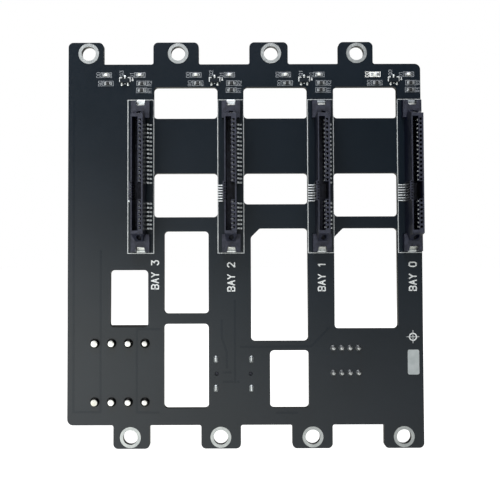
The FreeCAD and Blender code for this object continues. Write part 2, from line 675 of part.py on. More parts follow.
def make_inlet_pin(x, z):
    """A round pin with a shoulder on the board and a tail through it."""
    tail = INLET_TAIL_DIAMETER / 2
    pin = INLET_PIN_DIAMETER / 2
    top = INLET_HEIGHT - INLET_PIN_RECESS
    return turned(rear, x, z, [
        (0, -BOARD_THICKNESS), (tail, -BOARD_THICKNESS), (tail, 0), (pin, 0), (pin, top - PIN_POINT),
        (pin / 2, top), (0, top)])


def make_inlets():
    for name, z in zip(("lower", "upper"), INLET_ROWS):
        save("power_inlet_" + name + "_housing", [make_inlet_housing(z)])
        save("power_inlet_" + name + "_pins",
             [make_inlet_pin(x, z) for x in row(INLET_MIDDLE, INLET_PINS, INLET_PITCH)])


# Fan headers

def make_fan_body(z):
    """A header base with a hooked latch wall behind the first pins."""
    half = FAN_PITCH * FAN_PINS / 2
    base = block(rear, FAN_X - half, FAN_X + half, 0, FAN_BASE_HEIGHT, z - FAN_BELOW, z + FAN_ABOVE)
    outer = z + FAN_ABOVE
    inner = outer - FAN_LATCH_THICKNESS
    hook = inner - FAN_LATCH_HOOK
    top = FAN_LATCH_HEIGHT
    latch = [(inner, 0), (outer, 0), (outer, top), (inner, top), (hook, top - 2 * FAN_LATCH_HOOK),
             (inner, top - 3 * FAN_LATCH_HOOK)]
    wall = cross_prism(rear, latch, FAN_X - half, FAN_X - half + FAN_PITCH * FAN_LATCH_PINS)
    body = base.fuse(wall).removeSplitter()
    hole = FAN_PIN_SIDE / 2 + PIN_TO_BODY
    tools = [block(rear, x - hole, x + hole, -CUT_OVER, FAN_BASE_HEIGHT + CUT_OVER, z - hole, z + hole)
             for x in row(FAN_X, FAN_PINS, FAN_PITCH)]
    return body.cut(tools)


def make_fan_pin(x, z):
    """A square pin with a pointed end and a tail through the board."""
    half = FAN_PIN_SIDE / 2
    neck = FAN_PIN_HEIGHT - FAN_PIN_POINT
    shank = block(rear, x - half, x + half, -BOARD_THICKNESS, neck, z - half, z + half)
    point = frustum(rear, (x - half, x + half, z - half, z + half, neck),
                    (x - half / 2, x + half / 2, z - half / 2, z + half / 2, FAN_PIN_HEIGHT))
    return shank.fuse(point).removeSplitter()


def make_fan_headers():
    for name, z in zip(("lower", "upper"), FAN_ROWS):
        save("fan_header_" + name + "_body", [make_fan_body(z)])
        save("fan_header_" + name + "_pins",
             [make_fan_pin(x, z) for x in row(FAN_X, FAN_PINS, FAN_PITCH)])


# Cable port

def port_box(half_x, half_z, h0, h1):
    return block(rear, PORT_X - half_x, PORT_X + half_x, h0, h1, PORT_Z - half_z, PORT_Z + half_z)


def make_port_shell():
    """A folded sheet tube that stands on four tabs through the board."""
    half_x = (PORT_TAB_SPAN + PORT_SHEET) / 2
    half_z = PORT_SHELL_WIDTH / 2
    tube = port_box(half_x, half_z, PORT_SHELL_RISE, PORT_SHELL_HEIGHT)
    tube = tube.cut(port_box(half_x - PORT_SHEET, half_z - PORT_SHEET, 0, PORT_SHELL_HEIGHT + CUT_OVER))
    tabs = []
    for x, z in tab_places():
        tabs.append(block(rear, x - PORT_SHEET / 2, x + PORT_SHEET / 2, -BOARD_THICKNESS, PORT_SHELL_RISE,
                          z - PORT_TAB_WIDTH / 2, z + PORT_TAB_WIDTH / 2))
    return tube.fuse(tabs).removeSplitter()


def port_contact_rows():
    """Each row of port contacts as the wall it lies on and the way that the wall faces."""
    rows = []
    for z in row(PORT_Z, 2, PORT_SLOT_SPACING):
        rows += [(z - PORT_SLOT_WIDTH / 2, 1), (z + PORT_SLOT_WIDTH / 2, -1)]
    return rows


def port_blade(x, wall, facing, height, width):
    """A blade from the board to a height, flat against the inside of a slot's wall."""
    z0, z1 = sorted((wall, wall + facing * PORT_CONTACT_THICKNESS))
    return block(rear, x - width / 2, x + width / 2, 0, height, z0, z1)


def make_port_block():
    """The moulding in the shell: two card slots, a flange under the shell and two pegs."""
    half_x = (PORT_TAB_SPAN - PORT_SHEET) / 2 - PORT_BLOCK_ROOM
    half_z = PORT_SHELL_WIDTH / 2 - PORT_SHEET - PORT_BLOCK_ROOM
    block_body = port_box(half_x, half_z, 0, PORT_BLOCK_HEIGHT)
    flange_x = (PORT_TAB_SPAN + PORT_SHEET) / 2 + PORT_FLANGE_REACH
    flange_z = (PORT_TAB_ROWS - PORT_TAB_WIDTH) / 2 - PORT_FLANGE_ROOM
    additions = [port_box(flange_x, flange_z, 0, PORT_SHELL_RISE)]
    for x in row(PORT_X, 2, PEG_SPAN):
        additions.append(Part.makeCylinder(PEG_DIAMETER / 2, PEG_LENGTH, rear(x, 0, PORT_Z), Vector(0, -1, 0)))
    body = block_body.fuse(additions).removeSplitter()
    half_slot = PORT_SLOT_LENGTH / 2
    floor = PORT_BLOCK_HEIGHT - PORT_SLOT_DEPTH
    tools = [block(rear, PORT_X - half_slot, PORT_X + half_slot, floor, PORT_BLOCK_HEIGHT + CUT_OVER,
                   z - PORT_SLOT_WIDTH / 2, z + PORT_SLOT_WIDTH / 2)
             for z in row(PORT_Z, 2, PORT_SLOT_SPACING)]
    for wall, facing in port_contact_rows():
        for x in row(PORT_X, PORT_CONTACTS, PORT_CONTACT_PITCH):
            tools.append(port_blade(x, wall, facing, floor + CUT_OVER, PORT_CONTACT_WIDTH))
    return body.cut(tools)


def make_port_contacts():
    top = PORT_BLOCK_HEIGHT - PORT_CONTACT_WIDTH
    return [port_blade(x, wall, facing, top, PORT_CONTACT_WIDTH)
            for wall, facing in port_contact_rows()
            for x in row(PORT_X, PORT_CONTACTS, PORT_CONTACT_PITCH)]


def make_port():
    save("cable_port_shell", [make_port_shell()])
    save("cable_port_insulator", [make_port_block()])
    save("cable_port_contacts", make_port_contacts())


# Solder joints on the drive side

def make_joint(x, z, pad, end, height):
    """A wetted joint: a fillet up from the pad, then a shallow dome over the pin's end."""
    foot = pad / 2
    neck = end / 2
    shoulder = height * JOINT_SHOULDER
    centre = (height ** 2 - shoulder ** 2 - neck ** 2) / (2 * (height - shoulder))
    dome = height - centre
    half_turn = math.atan2(neck, shoulder - centre) / 2
    crown = (dome * math.sin(half_turn), centre + dome * math.cos(half_turn))
    return turned(front, x, z, [(0, 0), (foot, 0), (neck, shoulder), (crown, (0, height))])


def make_tab_joint(x, z):
    """A low ridge of solder over one of the port's tabs."""
    foot = rounded_wire(tab_slot(x, z, TAB_SLOT_ROOM + TAB_JOINT_MARGIN), front(0, 0, 0).y)
    crest = rounded_wire(tab_slot(x, z, 0), front(0, TAB_JOINT_HEIGHT, 0).y)
    return Part.makeLoft([foot, crest], True, True)


def make_joints():
    save("power_solder_joints", [make_joint(x, z, *INLET_JOINT) for z in INLET_ROWS
                                 for x in row(INLET_MIDDLE, INLET_PINS, INLET_PITCH)])
    save("fan_solder_joints", [make_joint(x, z, *FAN_JOINT) for z in FAN_ROWS
                               for x in row(FAN_X, FAN_PINS, FAN_PITCH)])
    save("cable_port_solder_joints", [make_tab_joint(x, z) for x, z in tab_places()])


os.makedirs("parts", exist_ok=True)
save("circuit_board", [make_board()])
save("screw_hole_plating", [make_plating(x, z) for x, z in LOWER_HOLES + UPPER_HOLES])
make_sockets()
make_indicators()
make_inlets()
make_fan_headers()
make_port()
make_joints()
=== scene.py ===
"""Looks of a four-bay drive backplane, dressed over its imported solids.

The board stands upright: +X runs right and +Z up as the drives see it, and -Y points at the drives.
Places and sizes are millimetres until a mesh is made.
"""

import math

import bmesh
import bpy
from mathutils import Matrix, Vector
from mathutils.bvhtree import BVHTree


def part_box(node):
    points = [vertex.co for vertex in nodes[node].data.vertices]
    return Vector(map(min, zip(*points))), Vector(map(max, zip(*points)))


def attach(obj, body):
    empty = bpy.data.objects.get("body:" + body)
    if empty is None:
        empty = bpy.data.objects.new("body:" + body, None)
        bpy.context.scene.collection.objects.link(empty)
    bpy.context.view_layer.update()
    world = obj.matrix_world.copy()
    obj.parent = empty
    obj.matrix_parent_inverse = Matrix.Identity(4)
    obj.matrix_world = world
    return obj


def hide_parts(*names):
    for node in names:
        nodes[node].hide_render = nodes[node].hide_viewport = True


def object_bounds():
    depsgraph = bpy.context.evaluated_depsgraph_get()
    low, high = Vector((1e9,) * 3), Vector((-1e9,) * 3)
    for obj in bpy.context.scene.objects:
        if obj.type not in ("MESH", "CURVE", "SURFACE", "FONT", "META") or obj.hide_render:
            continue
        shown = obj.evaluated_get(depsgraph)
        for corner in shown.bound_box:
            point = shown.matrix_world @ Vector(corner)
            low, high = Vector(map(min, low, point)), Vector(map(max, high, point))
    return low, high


MM = 0.001
WELD_GAP = 0.001                # corners of a solid that lie nearer than this are one

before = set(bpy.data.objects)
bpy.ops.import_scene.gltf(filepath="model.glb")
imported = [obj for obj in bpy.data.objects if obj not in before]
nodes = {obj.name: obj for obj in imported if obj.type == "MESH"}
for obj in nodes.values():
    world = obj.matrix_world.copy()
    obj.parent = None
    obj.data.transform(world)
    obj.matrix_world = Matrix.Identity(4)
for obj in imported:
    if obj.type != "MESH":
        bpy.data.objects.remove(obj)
cad_low, cad_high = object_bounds()


# Places read from the solids

BAYS = (3, 2, 1, 0)             # left to right
HOUSING_OFFSET = 0.15           # middle of a housing's box from the middle of its bay
PROBE_HEIGHT = 1.0              # height from which the board is felt for
PROBE_LENGTH = 1.1


def box_mm(node):
    """The lowest and highest corners of a node."""
    low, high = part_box(node)
    return low / MM, high / MM


def bay_x(bay):
    """The middle of a bay."""
    low, high = box_mm("drive_socket_%d_housing" % bay)
    return (low.x + high.x) / 2 - HOUSING_OFFSET


board_low, board_high = box_mm("circuit_board")
FRONT = board_low.y
REAR = board_high.y
socket_low, socket_high = box_mm("drive_socket_0_housing")
SOCKET_Z = (socket_low.z + socket_high.z) / 2
SOCKET_HALF = (socket_high.z - socket_low.z) / 2
driver_low, driver_high = box_mm("bay_0_led_driver")
DRIVER_X = (driver_low.x + driver_high.x) / 2 - bay_x(0)
DRIVER_Z = (driver_low.z + driver_high.z) / 2


def on_front(x, height, z):
    """A point at a height above the drive side of the board."""
    return Vector((x, FRONT - height, z)) * MM


def on_rear(x, height, z):
    """A point at a height above the cable side of the board."""
    return Vector((x, REAR + height, z)) * MM


board_mesh = nodes["circuit_board"].data
board_tree = BVHTree.FromPolygons([vert.co for vert in board_mesh.vertices],
                                  [tuple(face.vertices) for face in board_mesh.polygons])


def on_board(x, z):
    """True where the drive side of the board has material."""
    start = on_front(x, PROBE_HEIGHT, z)
    hit = board_tree.ray_cast(start, Vector((0.0, 1.0, 0.0)), PROBE_LENGTH * MM)
    return hit[0] is not None


def islands(node):
    """Boxes of a node's separate solids, as (x0, x1, z0, z1, top) with top above the drive side."""
    mesh = bmesh.new()
    mesh.from_mesh(nodes[node].data)
    bmesh.ops.remove_doubles(mesh, verts=mesh.verts, dist=WELD_GAP * MM)
    seen = set()
    boxes = []
    for first in mesh.verts:
        if first in seen:
            continue
        seen.add(first)
        queue = [first]
        for vert in queue:
            for edge in vert.link_edges:
                other = edge.other_vert(vert)
                if other not in seen:
                    seen.add(other)
                    queue.append(other)
        xs = [vert.co.x / MM for vert in queue]
        zs = [vert.co.z / MM for vert in queue]
        top = FRONT - min(vert.co.y for vert in queue) / MM
        boxes.append((min(xs), max(xs), min(zs), max(zs), top))
    mesh.free()
    return boxes


# Shader nodes

RAMP_SPAN = (0.35, 0.65)        # part of a noise's range over which a colour goes from dark to light
GLOSS_SPAN = (0.3, 0.7)         # part of a noise's range over which a roughness varies
OPEN_SPAN = (0.75, 1.0)         # openness over which a shaded colour comes up from its darkest
SHADE_DARKEST = 0.02
SHADE_SAMPLES = 8


def new_material(name):
    material = bpy.data.materials.new(name)
    material.use_nodes = True
    tree = material.node_tree
    return material, tree, tree.nodes["Principled BSDF"]


def put(tree, source, socket):
    """Feed a socket from another socket, or set it to a plain value."""
    if isinstance(source, bpy.types.NodeSocket):
        tree.links.new(source, socket)
    else:
        socket.default_value = source


def node_of(tree, kind, **settings):
    """A shader node; a setting named like an input fills that input, and any other is the node's own."""
    made = tree.nodes.new(kind)
    for key, value in settings.items():
        label = key.replace("_", " ")
        if label in made.inputs:
            put(tree, value, made.inputs[label])
        else:
            setattr(made, key, value)
    return made


def place_along(tree, axis):
    """One axis of a point's place, in metres."""
    where = node_of(tree, "ShaderNodeTexCoord")
    return node_of(tree, "ShaderNodeSeparateXYZ", Vector=where.outputs["Object"]).outputs[axis]


def facing(tree, axis):
    """One axis of a face's normal."""
    geometry = node_of(tree, "ShaderNodeNewGeometry")
    return node_of(tree, "ShaderNodeSeparateXYZ", Vector=geometry.outputs["Normal"]).outputs[axis]


def noise(tree, scale, detail=4.0, stretch=(1.0, 1.0, 1.0)):
    """Noise in the part's own millimetres; scale is in cycles per millimetre."""
    where = node_of(tree, "ShaderNodeTexCoord")
    sized = node_of(tree, "ShaderNodeMapping", Vector=where.outputs["Object"],
                    Scale=[s / MM for s in stretch])
    made = node_of(tree, "ShaderNodeTexNoise", Vector=sized.outputs["Vector"], Scale=scale, Detail=detail)
    return made.outputs["Fac"]


def ramp(tree, factor, dark, light):
    """A colour that goes from dark to light with a noise."""
    made = node_of(tree, "ShaderNodeValToRGB", Fac=factor)
    for stop, position, colour in zip(made.color_ramp.elements, RAMP_SPAN, (dark, light)):
        stop.position = position
        stop.color = (*colour, 1.0)
    return made.outputs["Color"]


def mapped(tree, value, start, end, low=0.0, high=1.0):
    """A number that goes from low to high as a value goes from start to end."""
    made = node_of(tree, "ShaderNodeMapRange", Value=value, From_Min=start, From_Max=end,
                   To_Min=low, To_Max=high)
    return made.outputs["Result"]


def either(tree, factor, off, on):
    """A number between two, for a factor from 0 to 1."""
    return mapped(tree, factor, 0.0, 1.0, off, on)


def mixed(tree, factor, off, on):
    """A colour between two, for a factor from 0 to 1."""
    return node_of(tree, "ShaderNodeMix", data_type="RGBA", Factor=factor, A=off, B=on).outputs["Result"]


def along_y(tree, across, along):
    """0 on faces that look across Y and 1 on those along it; the limits are sizes of the normal's Y."""
    size = node_of(tree, "ShaderNodeMath", operation="ABSOLUTE", Value=facing(tree, "Y"))
    return mapped(tree, size.outputs["Value"], across, along)


def shaded(tree, colour, reach_mm):
    """The colour darkened with painted shade where other surfaces stand close round it."""
    near = node_of(tree, "ShaderNodeAmbientOcclusion", Distance=reach_mm * MM, samples=SHADE_SAMPLES)
    light = mapped(tree, near.outputs["AO"], *OPEN_SPAN, SHADE_DARKEST)
    made = node_of(tree, "ShaderNodeMix", data_type="RGBA", blend_type="MULTIPLY",
                   Factor=1.0, A=colour, B=light)
    return made.outputs["Result"]


def bumped(tree, shader, height, depth_mm):
    made = node_of(tree, "ShaderNodeBump", Height=height, Distance=depth_mm * MM)
    put(tree, made.outputs["Normal"], shader.inputs["Normal"])


def dress(tree, shader, colour, grain, roughness, rough_half, depth_mm):
    """Give a shader its colour, with uneven gloss and a bump from a grain."""
    gloss = mapped(tree, grain, *GLOSS_SPAN, roughness - rough_half, roughness + rough_half)
    put(tree, colour, shader.inputs["Base Color"])
    put(tree, gloss, shader.inputs["Roughness"])
    bumped(tree, shader, grain, depth_mm)


# Materials

def surface(name, dark, light, roughness, blotch, grain, depth_mm, metallic=0.0, rough_half=0.06,
            stretch=(1.0, 1.0, 1.0), wall=None, wall_turn=(0.3, 0.8), **sockets):
    """A material with blotchy colour, uneven gloss and a fine grain.

    Blotch and grain are scales of noise, and a wall colour, if given, is painted shade on the faces that
    look across Y.
    """
    material, tree, shader = new_material(name)
    for socket, value in dict(sockets, Metallic=metallic).items():
        put(tree, value, shader.inputs[socket.replace("_", " ")])
    colour = ramp(tree, noise(tree, blotch, stretch=stretch), dark, light)
    # painted shade on the faces that look across Y
    if wall:
        colour = mixed(tree, along_y(tree, *wall_turn), (*wall, 1.0), colour)
    dress(tree, shader, colour, noise(tree, grain, stretch=stretch), roughness, rough_half, depth_mm)
    return material


MASK_DARK = (0.0020, 0.0066, 0.0130)
MASK_LIGHT = (0.0036, 0.0088, 0.0165)
MASK_BLOTCH = 0.05
MASK_GRAIN = 4.0
MASK_DETAIL = 3.0
MASK_DEPTH = 0.004
MASK_ROUGHNESS = 0.33
MASK_ROUGH_HALF = 0.05
MASK_SPECULAR = 0.5
LAMINATE_DARK = (0.006, 0.006, 0.006)
LAMINATE_LIGHT = (0.012, 0.011, 0.009)
LAMINATE_GRAIN = 1.2
LAMINATE_DETAIL = 5.0
LAMINATE_STRETCH = (0.6, 9.0, 0.6)
LAMINATE_SPECULAR = 0.03
LAMINATE_TURN = (0.45, 0.55)    # sizes of the normal's Y between which a cut edge becomes a face


def board_material():
    """Satin solder mask over glass cloth, with the bare laminate on the cut edges."""
    material, tree, shader = new_material("solder_mask")
    layers = noise(tree, LAMINATE_GRAIN, LAMINATE_DETAIL, LAMINATE_STRETCH)
    edge = ramp(tree, layers, LAMINATE_DARK, LAMINATE_LIGHT)
    face = ramp(tree, noise(tree, MASK_BLOTCH, MASK_DETAIL), MASK_DARK, MASK_LIGHT)
    is_face = along_y(tree, *LAMINATE_TURN)
    specular = either(tree, is_face, LAMINATE_SPECULAR, MASK_SPECULAR)
    put(tree, specular, shader.inputs["Specular IOR Level"])
    dress(tree, shader, mixed(tree, is_face, edge, face), noise(tree, MASK_GRAIN, MASK_DETAIL),
          MASK_ROUGHNESS, MASK_ROUGH_HALF, MASK_DEPTH)
    return material


# painted shade: the walls' colour is far darker than the faces'
MOULD_SHADED_WALL = ((0.0007, 0.0013, 0.0065), (0.0016, 0.0024, 0.0095))     # dark and light
MOULD_FACE = ((0.011, 0.013, 0.026), (0.031, 0.035, 0.060))
MOULD_TURN = (0.1, 0.6)         # sizes of the normal's Y between which a wall becomes a face
MOULD_ROUGHNESS = (0.30, 0.55)  # on walls and on faces
MOULD_SPECULAR = (0.15, 0.50)
MOULD_BLOTCH = 0.8
MOULD_GRAIN = 5.0
MOULD_DEPTH = 0.006


def moulding_material():
    """Black moulding, matt on the faces towards the drives and smooth on the walls, whose colour is
    darkened with painted shade.
    """
    material, tree, shader = new_material("moulded_black")
    patches = noise(tree, MOULD_BLOTCH)
    is_face = along_y(tree, *MOULD_TURN)
    # painted shade on the walls
    colour = mixed(tree, is_face, ramp(tree, patches, *MOULD_SHADED_WALL), ramp(tree, patches, *MOULD_FACE))
    put(tree, colour, shader.inputs["Base Color"])
    put(tree, either(tree, is_face, *MOULD_ROUGHNESS), shader.inputs["Roughness"])
    put(tree, either(tree, is_face, *MOULD_SPECULAR), shader.inputs["Specular IOR Level"])
    bumped(tree, shader, noise(tree, MOULD_GRAIN), MOULD_DEPTH)
    return material


CONTACT_DARK = (0.76, 0.80, 0.84)
CONTACT_LIGHT = (0.85, 0.89, 0.94)
CONTACT_BLOTCH = 0.7
CONTACT_GRAIN = 4.0
CONTACT_DEPTH = 0.004
CONTACT_ROUGHNESS = 0.58
CONTACT_ROUGH_HALF = 0.06
CONTACT_SHADE = 0.5             # how near another surface has to be to darken a contact
# painted light: a contact keeps its full brightness on faces that look to -X, towards the lamps at the left
LIT_SIDE_TURN = (-0.45, -0.75)    # the normal's X between which a contact becomes bright
# painted shade: near-black colours for a second port's contacts up inside the cavities
CAVITY_DARK = (0.004, 0.005, 0.008)
CAVITY_LIGHT = (0.008, 0.010, 0.014)
CAVITY_START = 1.0              # height above the board where a second port's contacts begin to darken
CAVITY_DEEP = 2.0


def contact_material(name, dark, light, second_port=False):
    """Tinned spring metal, darkened with painted shade where other surfaces stand close to it.

    Its faces that look to -X are spared that shade, painted light from the lamps at the left; a second
    port's darkens to near black as it goes up into the cavities, painted shade.
    """
    material, tree, shader = new_material(name)
    shader.inputs["Metallic"].default_value = 1.0
    patches = noise(tree, CONTACT_BLOTCH)
    bright = ramp(tree, patches, dark, light)
    # painted shade: the contact darkened where other surfaces stand close
    shaded_colour = shaded(tree, bright, CONTACT_SHADE)
    if second_port:
        # painted shade: a second port's contact goes near black as it rises into its cavity
        raised = mapped(tree, place_along(tree, "Y"),
                        (FRONT - CAVITY_START) * MM, (FRONT - CAVITY_DEEP) * MM)
        colour = mixed(tree, raised, shaded_colour, ramp(tree, patches, CAVITY_DARK, CAVITY_LIGHT))
    else:
        # painted light: faces that look to -X are spared the painted shade
        lit_side = mapped(tree, facing(tree, "X"), *LIT_SIDE_TURN)
        colour = mixed(tree, lit_side, shaded_colour, bright)
    dress(tree, shader, colour, noise(tree, CONTACT_GRAIN),
          CONTACT_ROUGHNESS, CONTACT_ROUGH_HALF, CONTACT_DEPTH)
    return material


INK_FINISH = dict(roughness=0.60, blotch=0.9, grain=6.0, depth_mm=0.006)
TIN_FINISH = dict(roughness=0.50, blotch=0.5, grain=3.0, depth_mm=0.006, metallic=1.0, rough_half=0.08)
SOLDER_FINISH = dict(roughness=0.38, blotch=0.8, grain=2.0, depth_mm=0.012, metallic=1.0, rough_half=0.08)
MATT_FINISH = dict(roughness=0.60, blotch=0.8, grain=2.0, depth_mm=0.010, metallic=1.0)

board_mask = board_material()
bare_mask = surface("mask_over_laminate", MASK_DARK, MASK_LIGHT, MASK_ROUGHNESS, MASK_BLOTCH, MASK_GRAIN,
                    MASK_DEPTH, IOR=1.45)
faint_ink = surface("faint_ink", (0.18, 0.20, 0.23), (0.29, 0.31, 0.35), **INK_FINISH)
plate_ink = surface("plate_ink", (0.38, 0.42, 0.44), (0.46, 0.50, 0.52), **dict(INK_FINISH, blotch=0.4))
frame_ink = surface("frame_ink", (0.46, 0.49, 0.52), (0.62, 0.65, 0.68), **INK_FINISH)
white_ink = surface("white_ink", (0.60, 0.63, 0.66), (0.76, 0.79, 0.82), **INK_FINISH)
bold_ink = surface("bold_ink", (0.88, 0.90, 0.92), (0.94, 0.96, 0.98), **INK_FINISH)
tinned = surface("tinned_copper", (0.66, 0.68, 0.68), (0.82, 0.84, 0.84), **TIN_FINISH)
# painted shade: the bore of the plating is near black
plating = surface("hole_plating", (0.46, 0.49, 0.51), (0.58, 0.61, 0.63), wall=(0.04, 0.04, 0.04),
                  **TIN_FINISH)
solder = surface("bright_solder", (0.68, 0.72, 0.76), (0.83, 0.88, 0.93), **SOLDER_FINISH)
dull_solder = surface("dull_solder", (0.86, 0.90, 0.94), (0.94, 0.98, 1.00), **MATT_FINISH)
grey_solder = surface("grey_solder", (0.29, 0.32, 0.35), (0.41, 0.44, 0.47), **MATT_FINISH)
pin_solder = surface("pin_solder", (0.46, 0.48, 0.50), (0.60, 0.62, 0.64), **SOLDER_FINISH)
# painted shade: the joints' sloped sides are near black
joint_solder = surface("joint_solder", (0.60, 0.60, 0.56), (0.95, 0.96, 0.97), wall=(0.03, 0.03, 0.03),
                       wall_turn=(0.80, 0.98), **dict(SOLDER_FINISH, blotch=0.25))
chip_tin = surface("chip_tin", (0.40, 0.42, 0.45), (0.58, 0.60, 0.63),
                   **dict(SOLDER_FINISH, roughness=0.45, depth_mm=0.008))
contact_metal = contact_material("tinned_contact", CONTACT_DARK, CONTACT_LIGHT)
port_metal = contact_material("port_contact", CONTACT_DARK, CONTACT_LIGHT, second_port=True)
# painted shade: a darker copy of the contact metal, for contacts that lie in the leftmost tower's shade
shaded_metal = contact_material("shaded_contact", (0.20, 0.22, 0.25), (0.28, 0.30, 0.33), second_port=True)
socket_black = moulding_material()
driver_black = surface("driver_black", (0.002, 0.006, 0.012), (0.004, 0.009, 0.016),
                       roughness=0.50, blotch=0.6, grain=6.0, depth_mm=0.008, Specular_IOR_Level=0.30)
resistor_black = surface("resistor_glaze", (0.022, 0.024, 0.028), (0.040, 0.042, 0.046),
                         roughness=0.30, blotch=0.9, grain=5.0, depth_mm=0.004)
lamp_resin = surface("lamp_resin", (0.84, 0.86, 0.88), (0.92, 0.94, 0.96),
                     roughness=0.22, blotch=0.8, grain=4.0, depth_mm=0.003, Subsurface_Weight=0.3,
                     Subsurface_Radius=(0.0004, 0.0004, 0.0003), Coat_Weight=0.4)
inlet_black = surface("inlet_black", (0.010, 0.010, 0.011), (0.020, 0.020, 0.021),
                      roughness=0.42, blotch=0.3, grain=3.0, depth_mm=0.008)
nylon = surface("natural_nylon", (0.70, 0.67, 0.58), (0.80, 0.78, 0.70),
                roughness=0.42, blotch=0.12, grain=3.0, depth_mm=0.008, Subsurface_Weight=0.15,
                Subsurface_Radius=(0.001, 0.0008, 0.0005))
pin_metal = surface("tinned_pin", (0.68, 0.66, 0.60), (0.84, 0.82, 0.76),
                    roughness=0.26, blotch=0.6, grain=3.0, depth_mm=0.004, metallic=1.0,
                    stretch=(1.0, 0.15, 1.0))
shell_nickel = surface("nickel_shell", (0.52, 0.51, 0.49), (0.66, 0.65, 0.63),
                       roughness=0.30, blotch=0.3, grain=3.0, depth_mm=0.004, metallic=1.0,
                       stretch=(0.3, 3.0, 0.3))
port_gold = surface("gold_contact", (0.74, 0.52, 0.20), (0.86, 0.64, 0.30),
                    roughness=0.26, blotch=0.8, grain=4.0, depth_mm=0.003, metallic=1.0)

# The first ending that fits a node's name gives its finish
NODE_FINISH = (
    ("circuit_board", board_mask),
    ("screw_hole_plating", plating),
    ("power_solder_joints", joint_solder),
    ("fan_solder_joints", pin_solder),
    ("solder_joints", solder),
    ("power_inlet_lower_housing", inlet_black),
    ("power_inlet_upper_housing", inlet_black),
    ("housing", socket_black),
    ("solder_clips", tinned),
    ("cable_port_contacts", port_gold),
    # the leftmost bay's second-port contacts take the copy darkened with painted shade
    ("drive_socket_%d_second_port_contacts" % BAYS[0], shaded_metal),
    ("second_port_contacts", port_metal),
    ("_contacts", contact_metal),
    ("_leds", lamp_resin),
    ("_resistors", resistor_black),
    ("_chip_end_caps", chip_tin),
    ("_led_driver", driver_black),
    ("_leads", tinned),
    ("_body", nylon),
    ("_pins", pin_metal),
    ("cable_port_shell", shell_nickel),
    ("cable_port_insulator", socket_black),
)

for node_name, node_object in nodes.items():
    finish = next(material for ending, material in NODE_FINISH if node_name.endswith(ending))
    node_object.data.materials.clear()
    node_object.data.materials.append(finish)


# Softened edges, by the start and the end of a node's name

BEVELS = (
    ("drive_socket", "housing", 0.05),
    ("power_inlet", "housing", 0.15),
    ("fan_header", "body", 0.12),
    ("cable_port", "shell", 0.05),
    ("cable_port", "insulator", 0.06),
    ("bay", "led_driver", 0.05),
    ("bay", "leds", 0.05),
    ("bay", "chip_end_caps", 0.04),
    ("bay", "resistors", 0.03),
    ("drive_socket", "contacts", 0.04),
    ("drive_socket", "clips", 0.06),
    ("bay", "leads", 0.03),
)
BEVEL_SEGMENTS = 2
FLAT_TURN = math.radians(1.0)   # faces that meet at less than this are one
SHARP_TURN = math.radians(35.0)


def soften(piece, width):
    """Round a solid's sharp edges, so that they catch the light."""
    weld = piece.modifiers.new("weld", "WELD")
    weld.merge_threshold = WELD_GAP * MM
    flatten = piece.modifiers.new("flatten", "DECIMATE")
    flatten.decimate_type = "DISSOLVE"
    flatten.angle_limit = FLAT_TURN
    bevel = piece.modifiers.new("bevel", "BEVEL")
    bevel.width = width * MM
    bevel.segments = BEVEL_SEGMENTS
    bevel.limit_method = "ANGLE"
    bevel.angle_limit = SHARP_TURN
    piece.modifiers.new("level_faces", "WEIGHTED_NORMAL")


for start, ending, width in BEVELS:
    for node_name, node_object in nodes.items():
        if node_name.startswith(start) and node_name.endswith(ending):
            soften(node_object, width)


# Flat shapes, as lists of (x, z) corners

ROUND_STEPS = 6                 # steps in a rounded corner or end
CIRCLE_STEPS = 32


def bar(x0, x1, z0, z1):
    return [(x0, z0), (x1, z0), (x1, z1), (x0, z1)]


def outline(x0, x1, z0, z1, line):
    """Four bars round a rectangle, inside its edge."""
    return [bar(x0, x1, z1 - line, z1), bar(x0, x1, z0, z0 + line),
            bar(x0, x0 + line, z0 + line, z1 - line), bar(x1 - line, x1, z0 + line, z1 - line)]


def arc(x, z, radius, start, end, count):
    return [(x + radius * math.cos(start + (end - start) * i / count),
             z + radius * math.sin(start + (end - start) * i / count)) for i in range(count + 1)]


def circle(x, z, radius):
    """A full turn, whose last point is its first one again."""
    return arc(x, z, radius, 0.0, 2 * math.pi, CIRCLE_STEPS)


def ring(x, z, inner, outer):
    """A ring as a chain of four-cornered shapes."""
    inside = circle(x, z, inner)
    outside = circle(x, z, outer)
    return [[inside[i], outside[i], outside[i + 1], inside[i + 1]] for i in range(CIRCLE_STEPS)]


def rounded_bar(x0, x1, z0, z1, radius):
    corners = []
    for x, z, turn in ((x1 - radius, z1 - radius, 0), (x0 + radius, z1 - radius, 1),
                       (x0 + radius, z0 + radius, 2), (x1 - radius, z0 + radius, 3)):
        corners += arc(x, z, radius, turn * math.pi / 2, (turn + 1) * math.pi / 2, ROUND_STEPS)
    return corners


def stroke(a, b, width):
    """A line with round ends."""
    turn = math.atan2(b[1] - a[1], b[0] - a[0])
    return (arc(*b, width / 2, turn - math.pi / 2, turn + math.pi / 2, ROUND_STEPS)
            + arc(*a, width / 2, turn + math.pi / 2, turn + 3 * math.pi / 2, ROUND_STEPS))


def path(points, width):
    """A stroke for each step between points."""
    return [stroke(a, b, width) for a, b in zip(points, points[1:])]


def ribbon(points, width):
    """One outline along a path, with mitred corners."""
    ways = [(Vector(b) - Vector(a)).normalized() for a, b in zip(points, points[1:])]
    sides = [Vector((-way.y, way.x)) for way in ways]
    left = []
    right = []
    for i, point in enumerate(points):
        before = sides[max(i - 1, 0)]
        after = sides[min(i, len(sides) - 1)]
        offset = (before + after) * (width / 2 / (1 + before.dot(after)))
        left.append(tuple(Vector(point) + offset))
        right.append(tuple(Vector(point) - offset))
    return left + right[::-1]


# Plain stroke lettering on a grid four wide and six high

